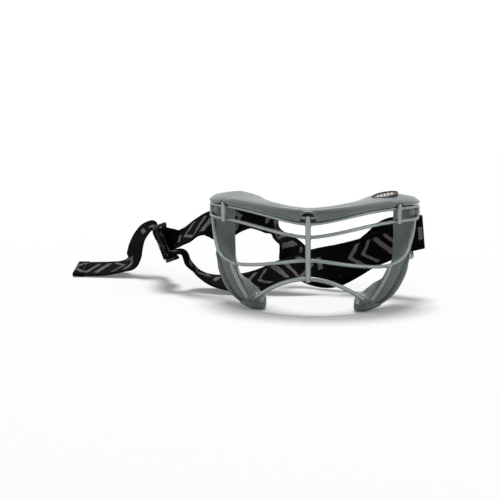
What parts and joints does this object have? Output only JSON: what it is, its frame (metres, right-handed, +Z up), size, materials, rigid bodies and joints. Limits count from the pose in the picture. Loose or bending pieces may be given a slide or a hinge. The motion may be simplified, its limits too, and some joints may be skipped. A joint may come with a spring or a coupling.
{
  "type": "lacrosse goggles",
  "caption": "Wire lacrosse goggles with a moulded brow, face padding, cheek feet and an adjustable elastic head strap with a slider.",
  "frame": {"origin": "midway between the two cheek feet, on the surface they stand on", "axes": "+X to the viewer's right across the face, +Y from the front of the wires towards the wearer, +Z up"},
  "size_m": [0.2897, 0.1433, 0.0869],
  "materials": {
    "wire": "satin silver-grey coating over steel wire",
    "brow": "satin grey-green moulded elastomer, lightly glossy on its ridge",
    "pad": "soft satin grey-green moulded padding",
    "strap": null,
    "slider": "black injection-moulded plastic, slightly worn on its bars",
    "badge_field": null,
    "badge_rim": "pale grey moulded rim"
  },
  "bodies": {
    "frame": {"brow_wire": "wire", "top_wire": "wire", "upper_wire": "wire", "middle_wire": "wire", "bottom_wire": "wire", "nose_bar": "wire", "left_corner_bar": "wire", "right_corner_bar": "wire", "left_cheek_wire": "wire", "right_cheek_wire": "wire", "left_strap_loop": "wire", "right_strap_loop": "wire", "brow_cover": "brow", "forehead_pad": "pad", "left_side_pad": "pad", "right_side_pad": "pad", "left_foot_pad": "pad", "right_foot_pad": "pad", "badge_plate": "badge_field", "badge_rim": "badge_rim", "strap_adjuster_run": "strap", "strap_inner_run": "strap", "strap_back_turn": "strap", "strap_cross_run": "strap", "strap_right_wrap": "strap", "strap_return_run": "strap", "strap_lower_leg": "strap", "strap_tail": "strap", "strap_tail_hem": "strap"},
    "slider": {"strap_sewn_end": "strap", "slider": "slider"}
  },
  "joints": [
    {"name": "slider_slide", "type": "slide", "parent": "frame", "child": "slider", "axis": [-0.3008, 0.9324, -0.2005], "range_m": [0, 0.012]}
  ]
}
